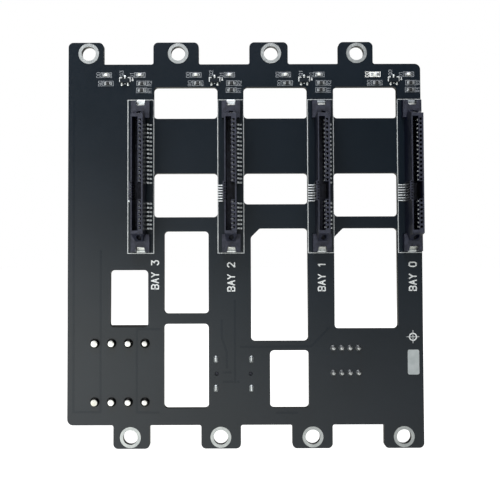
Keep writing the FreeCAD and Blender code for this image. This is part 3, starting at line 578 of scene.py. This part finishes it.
GLYPHS = {
    "A": (((0, 0), (2, 6), (4, 0)), ((0.8, 2.2), (3.2, 2.2))),
    "B": (((0, 0), (0, 6), (3, 6), (4, 5), (4, 4), (3, 3), (0, 3)),
          ((3, 3), (4, 2), (4, 1), (3, 0), (0, 0))),
    "D": (((0, 0), (0, 6), (2.5, 6), (4, 4.5), (4, 1.5), (2.5, 0), (0, 0)),),
    "Q": (((1, 0), (0, 1), (0, 5), (1, 6), (3, 6), (4, 5), (4, 1), (3, 0), (1, 0)),
          ((2.5, 1.5), (4, 0))),
    "R": (((0, 0), (0, 6), (3, 6), (4, 5), (4, 4), (3, 3), (0, 3)), ((2, 3), (4, 0))),
    "Y": (((0, 6), (2, 3), (4, 6)), ((2, 3), (2, 0))),
    "0": (((1, 0), (0, 1), (0, 5), (1, 6), (3, 6), (4, 5), (4, 1), (3, 0), (1, 0)),),
    "1": (((0.8, 4.8), (2.2, 6), (2.2, 0)),),
    "2": (((0, 5), (1, 6), (3, 6), (4, 5), (4, 4), (0, 0), (4, 0)),),
    "3": (((0, 6), (4, 6), (2, 3.6), (3, 3.6), (4, 2.6), (4, 1), (3, 0), (1, 0), (0, 1)),),
    " ": (),
}
GLYPH_ROWS = 6.0
GLYPH_COLUMNS = 4.0
GLYPH_STEP = 5.9                # one letter to the next, in columns
GLYPH_WIDTH = 0.888             # letters are a little narrower than their grid


def lettering(text, x, z, height, line):
    """Strokes of a text that starts at (x, z) and reads towards +Z."""
    scale = height / GLYPH_ROWS
    shapes = []
    for i, letter in enumerate(text):
        for points in GLYPHS[letter]:
            placed = [(x - v * scale, z + (u + GLYPH_STEP * i) * scale * GLYPH_WIDTH) for u, v in points]
            shapes += path(placed, line)
    return shapes


# Thin pieces on the board

INK = 0.02                      # heights above the board
TIN = 0.035
HEIGHT_STEP = 0.03              # share of its height by which a shape stands above the one before
HEIGHT_COUNT = 5                # heights before they begin again
EDGE_ROOM = 0.15                # bare board between print and a cut edge


def new_piece(name, mesh, material):
    """Turn a mesh into a piece that belongs to the part."""
    bmesh.ops.recalc_face_normals(mesh, faces=mesh.faces)
    data = bpy.data.meshes.new(name)
    mesh.to_mesh(data)
    mesh.free()
    data.materials.append(material)
    piece = bpy.data.objects.new(name, data)
    bpy.context.scene.collection.objects.link(piece)
    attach(piece, "root")
    return piece


def add_rings(mesh, rings, smooth=False):
    """A closed solid through rings of points, each with the same count."""
    levels = [[mesh.verts.new(point) for point in points] for points in rings]
    mesh.faces.new(levels[0])
    mesh.faces.new(levels[-1])
    for low, high in zip(levels, levels[1:]):
        for i in range(len(low)):
            j = (i + 1) % len(low)
            mesh.faces.new((low[i], low[j], high[j], high[i])).smooth = smooth


def add_plate(mesh, shape, side, height):
    """A flat shape raised to a height above a side of the board."""
    add_rings(mesh, [[side(x, level, z) for x, z in shape] for level in (0.0, height)])


def plates(name, shapes, side, height, material):
    """A piece of flat shapes; those that cross differ a little in height."""
    mesh = bmesh.new()
    for i, shape in enumerate(shapes):
        add_plate(mesh, shape, side, height * (1 + HEIGHT_STEP * (i % HEIGHT_COUNT)))
    new_piece(name, mesh, material)


# White print on the drive side

FRAME_LEFT = (3.80, 4.04)       # middle of a bay to the edges of its frame's upright lines
FRAME_RIGHT = (3.88, 4.12)
FRAME_SPLIT = 3.98              # the part of a line beyond this is lost beside a window
FRAME_BELOW = 0.48              # end of a socket to the outside of its frame
FRAME_ABOVE = 0.74
FRAME_LINE = 0.18
PRINT_STEP = 0.25
PRINT_PROBES = (0.05, 0.95)     # shares of a step where the board is felt for


def printed_upright(x0, x1, z0, z1):
    """An upright line as bars, only where the board lies under its whole width."""
    count = round((z1 - z0) / PRINT_STEP)
    step = (z1 - z0) / count
    bars = []
    start = None
    for i in range(count + 1):
        z = z0 + i * step
        probes = [(x, z + share * step) for x in (x0, x1) for share in PRINT_PROBES]
        printed = i < count and all(on_board(*probe) for probe in probes)
        if printed and start is None:
            start = z
        if not printed and start is not None:
            bars.append(bar(x0, x1, start, z))
            start = None
    return bars


def socket_frame(bay):
    """The print round a socket, cut short by windows and by the board's edge."""
    x = bay_x(bay)
    z0 = SOCKET_Z - SOCKET_HALF - FRAME_BELOW
    z1 = SOCKET_Z + SOCKET_HALF + FRAME_ABOVE
    shapes = []
    for hand, (inner, outer) in ((-1, FRAME_LEFT), (1, FRAME_RIGHT)):
        for near, far in ((inner, FRAME_SPLIT), (FRAME_SPLIT, outer)):
            edges = sorted((x + hand * near, x + hand * far))
            shapes += printed_upright(*edges, z0, z1)
    right = min(x + FRAME_RIGHT[0], board_high.x - EDGE_ROOM)
    shapes += [bar(x - FRAME_LEFT[0], right, z, z + FRAME_LINE) for z in (z0, z1 - FRAME_LINE)]
    return shapes


plates("print_socket_frames", [s for bay in BAYS for s in socket_frame(bay)], on_front, INK, frame_ink)

CHIP_FRAME = (3.4, 1.6)
CHIP_LINE = 0.17
MARK_HEIGHT = 1.05
MARK_LINE = 0.15
MARK_ROOM = 0.2                 # between an outline and its part mark
BRACKET_HALF_WIDTH = 1.62
BRACKET_TOP = 1.06
BRACKET_FOLD = 0.62
BRACKET_DROP = 1.25
BRACKET_LINE = 0.30
BOLD_LAMP = (0, 0)              # bay and place of the lamp whose print is filled in
BOLD_SHARE = 0.82               # share of that print's width, from its left
DRIVER_MARK_AT = (-0.51, 2.37)  # middle of the driver to the baseline and middle of its part mark
POINTER = (2.05, 2.65, 0.05, 1.2)    # left, right, foot and tip of the triangle, from the driver's middle
DASH = (0.18, 0.12, 0.36)       # half length of the dash below the driver, and the body's edge to its edges


def part_mark(text, x, z):
    """A part mark with its baseline at x and its middle at z, made smaller beside the board's edge."""
    height = MARK_HEIGHT - max(0.0, x - board_high.x + EDGE_ROOM)
    length = (GLYPH_STEP + GLYPH_COLUMNS) * GLYPH_WIDTH * height / GLYPH_ROWS
    return lettering(text, min(x, board_high.x - EDGE_ROOM), z - length / 2, height, MARK_LINE)


def chip_print(name, box, mark_side, filled=0.0):
    """The outline round one chip, with its part mark to the left (-1) or right (1).

    A share of the outline's width may be filled in from the left.
    """
    x = (box[0] + box[1]) / 2
    z = (box[2] + box[3]) / 2
    half_x = CHIP_FRAME[0] / 2
    half_z = CHIP_FRAME[1] / 2
    baseline = x - half_x - MARK_ROOM if mark_side < 0 else x + half_x + MARK_ROOM + MARK_HEIGHT
    x0 = x - half_x
    x1 = min(x + half_x, board_high.x - EDGE_ROOM)
    split = x0 + filled * (x1 - x0)
    shapes = outline(split, x1, z - half_z, z + half_z, CHIP_LINE) + part_mark(name, baseline, z)
    if filled:
        shapes.append(bar(x0, split, z - half_z, z + half_z))
    return shapes


def chip_prints(bay):
    """Outlines of one bay's lamps and resistors, and all its part marks."""
    shapes = []
    for i, box in enumerate(sorted(islands("bay_%d_leds" % bay))):
        if (bay, i) != BOLD_LAMP:
            shapes += chip_print("D" + str(i), box, -1)
    for i, box in enumerate(sorted(islands("bay_%d_resistors" % bay))):
        shapes += chip_print("R" + str(i), box, -1 if i == 0 else 1)
    middle = bay_x(bay) + DRIVER_X
    shapes += part_mark("Q" + str(bay), middle + DRIVER_MARK_AT[0], DRIVER_Z + DRIVER_MARK_AT[1])
    return shapes


def bold_print():
    """The outline and part mark of the lamp whose print is filled in."""
    bay, place = BOLD_LAMP
    box = sorted(islands("bay_%d_leds" % bay))[place]
    return chip_print("D" + str(place), box, -1, BOLD_SHARE)


def driver_print(bay):
    """Brackets, pointer and dash round one bay's driver."""
    shapes = []
    middle = bay_x(bay) + DRIVER_X
    top = DRIVER_Z + BRACKET_TOP
    for hand in (-1, 1):
        edge = middle + hand * BRACKET_HALF_WIDTH
        corner = [(edge - hand * BRACKET_FOLD, top), (edge, top), (edge, top - BRACKET_DROP)]
        shapes += path(corner, BRACKET_LINE)
    left, right, foot, tip = POINTER
    shapes.append([(middle + left, DRIVER_Z + foot), (middle + right, DRIVER_Z + foot),
                   (middle + (left + right) / 2, DRIVER_Z + tip)])
    half, upper, lower = DASH
    shapes.append(bar(middle - half, middle + half, driver_low.z - lower, driver_low.z - upper))
    return shapes


plates("print_chips", [s for bay in BAYS for s in chip_prints(bay)], on_front, INK, faint_ink)
plates("print_bold_lamp", bold_print(), on_front, INK, bold_ink)
plates("print_drivers", [s for bay in BAYS for s in driver_print(bay)], on_front, INK, white_ink)

LABEL_DROPS = {3: 34.2, 2: 34.9, 1: 34.9, 0: 34.9}      # middle of a socket to the foot of its label
LABEL_OFFSETS = {3: 5.45, 2: 1.10, 1: 1.18, 0: 1.40}    # middle of a bay to the baseline
LABEL_HEIGHT = 2.09
LABEL_LINE = 0.37
PLATE = (42.75, 46.25, 18.7, 26.2)
PLATE_CORNER = 0.5
TARGET_AT = (44.4, 30.1)
TARGET_RADIUS = 1.25
TARGET_ARM = 1.9

labels = []
for bay in BAYS:
    labels += lettering("BAY " + str(bay), bay_x(bay) + LABEL_OFFSETS[bay], SOCKET_Z - LABEL_DROPS[bay],
                        LABEL_HEIGHT, LABEL_LINE)
plates("print_labels", labels, on_front, INK, white_ink)

target_x, target_z = TARGET_AT
target = ring(target_x, target_z, TARGET_RADIUS - LABEL_LINE, TARGET_RADIUS)
target += path([(target_x - TARGET_ARM, target_z), (target_x + TARGET_ARM, target_z)], MARK_LINE)
target += path([(target_x, target_z - TARGET_ARM), (target_x, target_z + TARGET_ARM)], MARK_LINE)
plates("print_target", target, on_front, INK, white_ink)
plates("print_plate", [rounded_bar(*PLATE, PLATE_CORNER)], on_front, INK, plate_ink)


# Solder on the drive side

FILLET_STEPS = 4
MOUND_STEPS = 5
MOUND_TURN = math.radians(80.0)     # how far a mound's side turns over before its flat top
MOUND_EDGE = 0.5
MOUND_CORNER = 1.02             # radius of a mound's corners as a share of its edge


def add_fillet(mesh, x, way, z, half_width, foot, height):
    """A hollow wedge of solder that runs out from upright metal at x, to the right (1) or left (-1)."""
    profile = [(0.0, 0.0), (foot, 0.0)]
    for i in range(1, FILLET_STEPS + 1):
        turn = math.pi / 2 * i / FILLET_STEPS
        profile.append((foot * (1 - math.sin(turn)), height * (1 - math.cos(turn))))
    add_rings(mesh, [[on_front(x + way * out, rise, end) for out, rise in profile]
                     for end in (z - half_width, z + half_width)])


def add_mound(mesh, x0, x1, z0, z1, height, edge=MOUND_EDGE):
    """A rounded heap of solder on the board, with sides that slope in by about its edge."""
    rings = []
    for i in range(MOUND_STEPS + 1):
        turn = MOUND_TURN * i / MOUND_STEPS
        inset = edge * (1 - math.cos(turn))
        rise = height * math.sin(turn) / math.sin(MOUND_TURN)
        shape = rounded_bar(x0 + inset, x1 - inset, z0 + inset, z1 - inset, edge * MOUND_CORNER - inset)
        rings.append([on_front(x, rise, z) for x, z in shape])
    add_rings(mesh, rings, smooth=True)


TAIL_ROWS = (("power_contacts", 1), ("signal_contacts", 1), ("second_port_contacts", -1))
TAIL_FLAT = {1: 0.5, -1: 1.6}   # foot of a tail to the right and to the left
TAIL_TOE = {1: 0.18, -1: 0.08}  # solder beyond its tip
TAIL_HEEL = 0.25                # solder behind its foot
TAIL_THICKNESS = 0.2
HEEL_RISE = 1.4                 # heights of the fillets as shares of the tail's thickness
TOE_RISE = 0.9
TOE_LEAST = 0.1                 # a shorter toe has no fillet
PAD_ROOM = 0.02                 # bare board between a pad and a cut edge
BLOB_BEFORE = 0.02              # a blob's ends to the left and right of the tip of its tail
BLOB_BEHIND = 0.80
BLOB_SIDE = 0.12
BLOB_HEIGHT = 0.34
BLOB_EDGE = 0.22


def add_tail(mesh, tail, hand, left_limit):
    """Pad and fillets under a tail that points right (1) or left (-1); a left toe stops at its limit."""
    x0, x1, z0, z1, _ = tail
    z = (z0 + z1) / 2
    half = (z1 - z0) / 2
    tip = x1 if hand > 0 else x0
    reach = tip + hand * TAIL_TOE[hand]
    toe = min(reach, board_high.x - PAD_ROOM) if hand > 0 else max(reach, left_limit)
    heel = tip - hand * (TAIL_FLAT[hand] + TAIL_HEEL)
    add_plate(mesh, bar(min(heel, toe), max(heel, toe), z0, z1), on_front, TIN)
    add_fillet(mesh, tip - hand * TAIL_FLAT[hand], -hand, z, half, TAIL_HEEL, TAIL_THICKNESS * HEEL_RISE)
    if abs(toe - tip) > TOE_LEAST:
        add_fillet(mesh, tip, hand, z, half, abs(toe - tip), TAIL_THICKNESS * TOE_RISE)


def tail_solder(bay):
    """Solder under the contact tails of one socket.

    The leftmost bay's second port has it at its lowest tail only, with a blob over that one.
    """
    mesh = bmesh.new()
    for row, hand in TAIL_ROWS:
        tails = sorted(islands("drive_socket_%d_%s" % (bay, row)), key=lambda tail: tail[2])
        only_lowest = bay == BAYS[0] and hand < 0
        if only_lowest:
            tails = tails[:1]
        for tail in tails:
            add_tail(mesh, tail, hand, bay_x(bay) - FRAME_SPLIT)
        if only_lowest:
            tip, _, z0, z1, _ = tails[0]
            add_mound(mesh, tip - BLOB_BEFORE, tip + BLOB_BEHIND, z0 - BLOB_SIDE, z1 + BLOB_SIDE,
                      BLOB_HEIGHT, BLOB_EDGE)
    new_piece("tail_solder_%d" % bay, mesh, solder)


CHIP_TOE = 0.42                 # solder beyond the end of a chip
CHIP_MARGIN = 0.04              # pad beside a chip
CHIP_WET = 0.9                  # share of the toe and of the cap's height that the fillet covers


def chip_solder(bay):
    """Pads and fillets of one bay's chips."""
    mesh = bmesh.new()
    bodies = islands("bay_%d_leds" % bay) + islands("bay_%d_resistors" % bay)
    for x0, x1, z0, z1, top in islands("bay_%d_chip_end_caps" % bay):
        x = (x0 + x1) / 2
        z = (z0 + z1) / 2
        body = min(bodies, key=lambda b: abs((b[0] + b[1]) / 2 - x) + abs((b[2] + b[3]) / 2 - z))
        hand = 1 if x > (body[0] + body[1]) / 2 else -1
        inner, end = (x0, x1) if hand > 0 else (x1, x0)
        toe = end + hand * CHIP_TOE
        pad = bar(min(inner, toe), max(inner, toe), z0 - CHIP_MARGIN, z1 + CHIP_MARGIN)
        add_plate(mesh, pad, on_front, TIN)
        add_fillet(mesh, end, hand, z, (z1 - z0) / 2, CHIP_TOE * CHIP_WET, top * CHIP_WET)
    new_piece("chip_solder_%d" % bay, mesh, solder)


BEAD_HALF = 0.37                # half the width of the bead of solder on a driver's lead
BEAD_RISE = 0.13                # tip of a lead to the middle of its bead
BEAD_HEIGHT = 0.30
BEAD_EDGE = 0.33


def driver_solder(bay):
    """A bead of solder over the foot of each of one driver's leads."""
    mesh = bmesh.new()
    for x0, x1, z0, z1, _ in islands("bay_%d_led_driver_leads" % bay):
        x = (x0 + x1) / 2
        z = (z1 if z0 + z1 > 2 * DRIVER_Z else z0) + BEAD_RISE
        add_mound(mesh, x - BEAD_HALF, x + BEAD_HALF, z - BEAD_HALF, z + BEAD_HALF, BEAD_HEIGHT, BEAD_EDGE)
    new_piece("driver_solder_%d" % bay, mesh, dull_solder)


CLIP_MOUND = 0.55
CLIP_SIDE = 0.2                 # solder beside a clip
CLIP_ROOM = {1: 0.75, -1: 0.15}     # end of a clip to the end of its solder, at the upper and lower foot
GREY_CLIPS = (1, 0)             # bays with little solder on their upper clips
GREY_ROOM = 0.35
GREY_MOUND = 0.35


def clip_solder(bay):
    """Solder over the outer ends of one socket's clips."""
    for x0, x1, z0, z1, _ in islands("drive_socket_%d_solder_clips" % bay):
        middle = (z0 + z1) / 2
        hand = 1 if middle > SOCKET_Z else -1
        grey = hand > 0 and bay in GREY_CLIPS
        end = (z1 if hand > 0 else z0) + hand * (GREY_ROOM if grey else CLIP_ROOM[hand])
        mesh = bmesh.new()
        add_mound(mesh, x0 - CLIP_SIDE, x1 + CLIP_SIDE, min(middle, end), max(middle, end),
                  GREY_MOUND if grey else CLIP_MOUND)
        name = "clip_solder_%s_%d" % ("upper" if hand > 0 else "lower", bay)
        new_piece(name, mesh, grey_solder if grey else dull_solder)


JOINT_SHOULDER = 0.92           # share of a joint's height where its dome begins
JOINT_NECK = 0.70               # radius of the leftmost dome as a share of its pad's
JOINT_NECK_STEP = 0.045         # how much less solder each pin to the right has taken
JOINT_PINS = 4                  # pins of an inlet
DOME_STEPS = 5


def add_turned(mesh, x, z, profile):
    """A closed solid of revolution on the drive side; profile is a list of (radius, height)."""
    add_rings(mesh, [[on_front(px, height, pz) for px, pz in circle(x, z, radius)[:-1]]
                     for radius, height in profile])


def power_joints():
    """Joints of the power inlets, each with its own amount of solder."""
    mesh = bmesh.new()
    joints = sorted(islands("power_solder_joints"))
    for i, (x0, x1, z0, z1, top) in enumerate(joints):
        pad = (x1 - x0) / 2
        neck = pad * (JOINT_NECK - JOINT_NECK_STEP * (i * JOINT_PINS // len(joints)))
        shoulder = top * JOINT_SHOULDER
        profile = [(pad, 0.0), (neck, shoulder)]
        for step in range(1, DOME_STEPS):
            turn = math.pi / 2 * step / DOME_STEPS
            profile.append((neck * math.cos(turn), shoulder + (top - shoulder) * math.sin(turn)))
        add_turned(mesh, (x0 + x1) / 2, (z0 + z1) / 2, profile)
    piece = new_piece("power_joints", mesh, joint_solder)
    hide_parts("power_solder_joints")


power_joints()
for bay in BAYS:
    tail_solder(bay)
    chip_solder(bay)
    driver_solder(bay)
    clip_solder(bay)


# Faint relief of the copper under the mask

FRONT_RUNS = (
    ((-58.8, 102.5), (-58.7, 7.7), (-50.5, 7.7), (-50.5, 56.8)),
    ((-32.6, 7.5), (-39.5, 7.5), (-39.5, 32.7), (-32.4, 32.7)),
    ((-13.7, 35.5), (-13.7, 30.0), (-12.2, 25.6), (-12.2, 20.7)),
    ((-9.7, 41.5), (-9.7, 16.2)),
    ((-13.4, 19.5), (-10.7, 19.5)),
    ((-13.4, 16.7), (-10.2, 16.7)),
    ((-9.2, 16.7), (-8.3, 16.7)),
    ((-8.2, 27.2), (13.4, 27.3), (19.1, 33.1)),
    ((2.7, 7.3), (9.4, 7.3)),
)
RUN_WIDTH = 0.7
RUN_HEIGHT = 0.006
runs = [ribbon(points, RUN_WIDTH) for points in FRONT_RUNS]
plates("copper_relief_front", runs, on_front, RUN_HEIGHT, bare_mask)


# Print on the cable side

REAR_FRAMED = ("power_inlet_lower_housing", "power_inlet_upper_housing", "fan_header_lower_body",
               "fan_header_upper_body", "cable_port_insulator")
REAR_LINE = 0.25
REAR_ROOM = 0.5                 # connector to the outside of its outline


def rear_frame(node):
    """The outline round one connector."""
    low, high = box_mm(node)
    return outline(low.x - REAR_ROOM, high.x + REAR_ROOM, low.z - REAR_ROOM, high.z + REAR_ROOM, REAR_LINE)


plates("print_rear", [s for node in REAR_FRAMED for s in rear_frame(node)], on_rear, INK, white_ink)


# Floor, light and camera

WHITE = (1.0, 1.0, 1.0, 1.0)
FLOOR_HALF = 3000.0
FLOOR_COLOUR = (0.35, 0.35, 0.35, 1.0)
FLOOR_ROUGHNESS = 0.9
GLOW_COLOUR = (1.0, 1.0, 0.90, 1.0)
GLOW_STRENGTH = (1.65, 0.40)    # light that the floor throws up at its left and at its right
GLOW_LEFT = -100.0
GLOW_RIGHT = 60.0
SKY_STRENGTH = 0.05


def seen_by_camera(tree):
    return node_of(tree, "ShaderNodeLightPath").outputs["Is Camera Ray"]


def floor_material():
    """A floor that looks plain white, and lights the board more from the left."""
    material, tree, shader = new_material("pale_floor")
    seen = seen_by_camera(tree)
    glow = mapped(tree, place_along(tree, "X"), GLOW_LEFT * MM, GLOW_RIGHT * MM, *GLOW_STRENGTH)
    put(tree, FLOOR_COLOUR, shader.inputs["Base Color"])
    put(tree, FLOOR_ROUGHNESS, shader.inputs["Roughness"])
    put(tree, mixed(tree, seen, GLOW_COLOUR, WHITE), shader.inputs["Emission Color"])
    put(tree, either(tree, seen, glow, 1.0), shader.inputs["Emission Strength"])
    return material


floor_mesh = bmesh.new()
floor_corners = bar(-FLOOR_HALF, FLOOR_HALF, -FLOOR_HALF, FLOOR_HALF)
floor_mesh.faces.new([floor_mesh.verts.new((x * MM, y * MM, cad_low.z)) for x, y in floor_corners])
floor_data = bpy.data.meshes.new("floor")
floor_mesh.to_mesh(floor_data)
floor_mesh.free()
floor_data.materials.append(floor_material())
floor = bpy.data.objects.new("floor", floor_data)
bpy.context.scene.collection.objects.link(floor)

world = bpy.data.worlds.new("studio")
bpy.context.scene.world = world
world.use_nodes = True
sky_tree = world.node_tree
sky = sky_tree.nodes["Background"]
put(sky_tree, WHITE, sky.inputs["Color"])
put(sky_tree, either(sky_tree, seen_by_camera(sky_tree), SKY_STRENGTH, 1.0), sky.inputs["Strength"])

AIM = (-6.0, 0.0, 55.0)


def softbox(name, place, width, height, power):
    """A rectangular lamp that points at the part."""
    data = bpy.data.lights.new(name, "AREA")
    data.shape = "RECTANGLE"
    data.size = width * MM
    data.size_y = height * MM
    data.energy = power
    lamp = bpy.data.objects.new(name, data)
    lamp.location = Vector(place) * MM
    lamp.rotation_euler = (Vector(AIM) - Vector(place)).to_track_quat("-Z", "Y").to_euler()
    bpy.context.scene.collection.objects.link(lamp)


softbox("key", place=(-80.0, -230.0, 520.0), width=400.0, height=300.0, power=2.75)
softbox("left_card", place=(-230.0, -200.0, 60.0), width=200.0, height=110.0, power=0.16)
softbox("back_fill", place=(200.0, 420.0, 420.0), width=400.0, height=300.0, power=1.6)

FRAME_PIXELS = 500.0
FOCAL_PIXELS = 657.4
AXIS_PIXEL = (237.16, 239.16)   # where the lens axis meets the frame, from its upper left corner
SENSOR = 36.0
NEAREST = 10.0
FARTHEST = 10000.0
CAMERA_PLACE = (-9.11, -202.12, 54.31)
CAMERA_TURNS = (91.612, 0.189, -0.045)      # degrees

lens = bpy.data.cameras.new("camera")
lens.sensor_width = SENSOR
lens.lens = FOCAL_PIXELS / FRAME_PIXELS * SENSOR
lens.shift_x = 0.5 - AXIS_PIXEL[0] / FRAME_PIXELS
lens.shift_y = AXIS_PIXEL[1] / FRAME_PIXELS - 0.5
lens.clip_start = NEAREST * MM
lens.clip_end = FARTHEST * MM
camera = bpy.data.objects.new("camera", lens)
camera.location = Vector(CAMERA_PLACE) * MM
camera.rotation_euler = [math.radians(turn) for turn in CAMERA_TURNS]
bpy.context.scene.collection.objects.link(camera)
bpy.context.scene.camera = camera
bpy.context.scene.view_settings.view_transform = "Standard"
